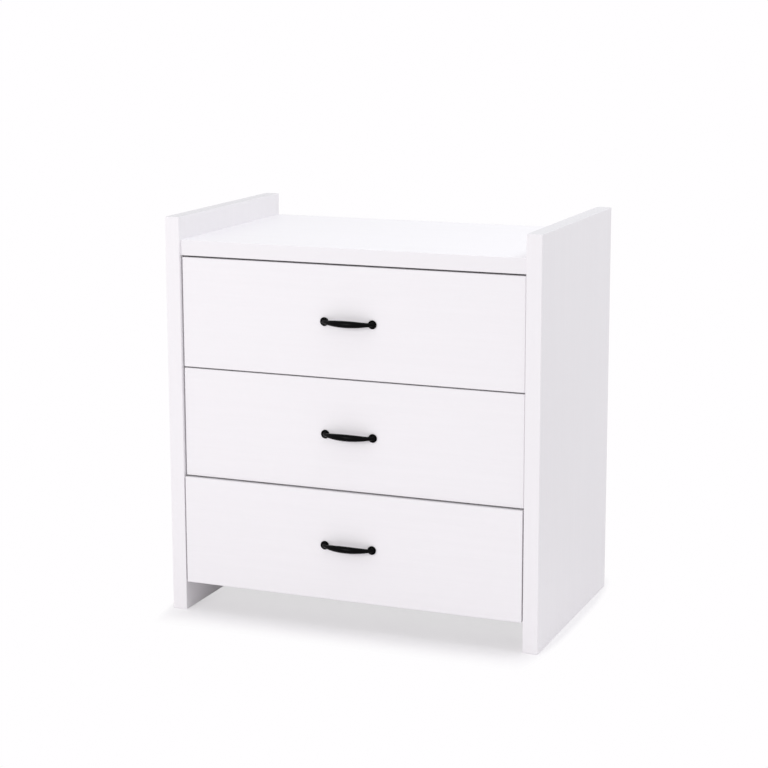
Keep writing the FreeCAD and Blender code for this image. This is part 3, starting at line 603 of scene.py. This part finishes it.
# %% Cams of the drawers and of the carcase
FLANGE, DRUM_HEIGHT = 8.1, 12.4  # mm, the flange's radius and the drum's height in its bore
drum = (
    FLANGE * np.array([0.80, 0.82, 0.82, 1.0, 1.0, 0.98, 0.90, 0.87, 0.70, 0.60, 0.57, 0.50,
                       0.40, 0.30, 0.22, 0.15, 0.02]),
    np.array([-DRUM_HEIGHT, 0.2 - DRUM_HEIGHT, -0.05, -0.05, 0.2, 0.3, 0.3] + [0.0] * 10),
    (1.1, 4.7, 2.4))
for number in DRAWERS:
    low, high = at(f"drawer_cams_{number}")
    radius = (high[1] - low[1]) / 2
    places = [((side * high[0], (low[1] + high[1]) / 2, z), (side, 0, 0))
              for side in (-1, 1) for z in (low[2] + radius, high[2] - radius)]
    cam_drums = driven_piece(f"cam_drums_{number}", drum, places, cast_zinc,
                             f"drawer_{number}")
    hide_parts(f"drawer_cams_{number}")

# The carcase's bores, as Y and Z: under the top board and the front rail, then in the front
# faces of the two rear rails. Each comes at both ends of its board, BORE_X from the middle.
BORE_X = 0.390
FACING_DOWN = [(-0.1925, 0.860), (0.2295, 0.860), (-0.2085, 0.070)]
FACING_FRONT = [(0.2565, 0.092), (0.2565, 0.802)]
seats = [(y, z, (0, 0, -1)) for y, z in FACING_DOWN]
seats += [(y, z, (0, -1, 0)) for y, z in FACING_FRONT]
places = [((x, y, z), facing) for x in (-BORE_X, BORE_X) for y, z, facing in seats]
carcase_drums = driven_piece("carcase_cam_drums", drum, places, cast_zinc, "carcase")
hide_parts("cam_housings")
print("carcase cams:", len(places))

# %% [markdown]
# ## The camera
#
# It stands a little above the dresser, to the right of its middle, and looks down on the
# changing surface. A long lens from over four metres keeps the dresser's edges almost
# parallel. It could be aimed at a target, but three angles say more plainly where it looks.

# %% Camera
EYE, LENS_MM, LENS_SHIFT = (1.7299, -4.3046, 1.4973), 92.45, -0.05
YAW, PITCH, ROLL = math.radians(22.07), math.radians(10.588), -0.00267
ahead = np.array([-math.sin(YAW) * math.cos(PITCH), math.cos(YAW) * math.cos(PITCH),
                  -math.sin(PITCH)])
rightwards = np.array([math.cos(YAW), math.sin(YAW), 0])
upwards = np.cross(rightwards, ahead)
right = math.cos(ROLL) * rightwards + math.sin(ROLL) * upwards
up = -math.sin(ROLL) * rightwards + math.cos(ROLL) * upwards

lens = bpy.data.cameras.new("lens")
lens.sensor_width = 36
lens.lens = LENS_MM
lens.shift_y = LENS_SHIFT
lens.clip_end = 60
camera = bpy.data.objects.new("camera", lens)
turn = np.eye(4)
turn[:3, 0], turn[:3, 1], turn[:3, 2] = right, up, -ahead
turn[:3, 3] = EYE
camera.matrix_world = Matrix(turn.tolist())
bpy.context.collection.objects.link(camera)
bpy.context.scene.camera = camera
print("camera to the middle of the front:", round(math.dist(EYE, (0, -0.26, 0.475)), 2))

# %% [markdown]
# ## A white studio
#
# The dresser stands on a white floor that runs out into a white background. A soft lamp in
# front lights the fronts, a larger one above lights the top, and the sky fills the rest, so
# that the right side stays a little darker. A bright sky alone could make the background
# white, but it would burn out the boards' grain. So the light stays low, and only what the
# eye sees of the sky and the far floor is plain white, with painted light that lightens the
# floor's shadow under and around the dresser.


# %% Floor, sky and lamps
STUDIO_WHITE, FLOOR_WHITE, FLOOR_WIDTH = (1.0, 0.99, 1.0, 1.0), (0.93, 0.91, 0.93, 1.0), 28.0
INNER_HALF, WEIGHTS = (0.438, 0.08, 1.0), (6.0, 1.0, 1.0)
MIDDLE_SHARE, EDGE_SHARE = 0.64, 0.39
FOOTPRINT_EDGE, SHADOW_START, SHADOW_END = 0.21, 0.20, 0.31
SKY_LIGHT = 0.72


def studio_floor():
    """A white floor whose shadow is lightened for the eye only.

    A share of what the camera, a mirror or glass sees is plain white. It evens the shadow out:
    it is highest in the middle of the footprint, where hardly any light comes in, and lower at
    its edge, and then it grows to 1, so that the floor fades into the white background. The
    distance that it depends on is the length of what is left of |x| and |y| after half an inner
    rectangle's sides are taken off and negative parts are set to 0. Along x it counts six
    times, because the side panels stop the shadow at their feet. All other light meets an
    ordinary white floor.
    """
    half = FLOOR_WIDTH / 2
    mesh = bpy.data.meshes.new("floor")
    mesh.from_pydata([(-half, -half, 0), (half, -half, 0), (half, half, 0), (-half, half, 0)],
                     [], [(0, 1, 2, 3)])
    finish = Finish("floor_white")
    mesh.materials.append(finish.paint(Base_Color=FLOOR_WHITE, Roughness=1.0,
                                       Specular_IOR_Level=0.0))
    place = finish.node("TexCoord", output="Object")
    beyond = finish.vector("SUBTRACT", finish.vector("ABSOLUTE", place), INNER_HALF)
    beyond = finish.vector("MAXIMUM", beyond, (0, 0, 0))
    outward_by = finish.vector("LENGTH", finish.vector("MULTIPLY", beyond, WEIGHTS))
    # Painted light: the white share lightens the floor's shadow, most under the middle of the
    # dresser.
    drop = MIDDLE_SHARE - EDGE_SHARE
    under = MIDDLE_SHARE - drop * finish.limits(outward_by, 0.0, FOOTPRINT_EDGE)
    share = under + (1 - under) * finish.limits(outward_by, SHADOW_START, SHADOW_END)
    white = finish.node("Emission", {}, {"Color": STUDIO_WHITE, "Strength": 1.0})
    shaded = Wire(finish, finish.surface.outputs[0])
    mixed = finish.node("MixShader", {}, {0: share * seen_rays(finish), 1: shaded, 2: white})
    finish.tree.links.new(mixed.socket, finish.tree.nodes["Material Output"].inputs[0])
    floor = bpy.data.objects.new("floor", mesh)
    bpy.context.collection.objects.link(floor)


def seen_rays(finish):
    """1 for rays from the camera, a mirror or glass, and 0 for the rest."""
    rays = [finish.node("LightPath", output=kind)
            for kind in ("Is Camera Ray", "Is Glossy Ray", "Is Transmission Ray")]
    return finish.node("Math", {"operation": "ADD", "use_clamp": True},
                       {0: rays[0] + rays[1], 1: rays[2]})


def soft_lamp(name, place, target, width, watts, tone=(1, 1, 1)):
    """A square lamp of one width that faces a target."""
    data = bpy.data.lights.new(name, "AREA")
    data.shape, data.size, data.energy, data.color = "SQUARE", width, watts, tone
    lamp = bpy.data.objects.new(name, data)
    away = Vector(place) - Vector(target)
    lamp.rotation_euler = away.to_track_quat("Z", "Y").to_euler()
    lamp.location = place
    bpy.context.collection.objects.link(lamp)


studio_floor()
sky = Finish("sky")
world = bpy.data.worlds.new("sky")
bpy.context.scene.world = world
world.use_nodes = True
sky.tree = world.node_tree
background = sky.tree.nodes["Background"]
seen = seen_rays(sky)
sky.fill(background, {"Color": sky.blend(seen, (1.0, 1.0, 1.0, 1.0), STUDIO_WHITE),
                      "Strength": SKY_LIGHT + (1 - SKY_LIGHT) * seen})
soft_lamp("key_lamp", (-1.3, -4.1, 1.9), (0, 0, 0.45), 1.1, 42)
soft_lamp("top_lamp", (1.0, 0.25, 3.3), (0, 0, 0.8), 2.6, 30, (0.90, 0.96, 1.0))
bpy.context.scene.view_settings.view_transform = "Standard"
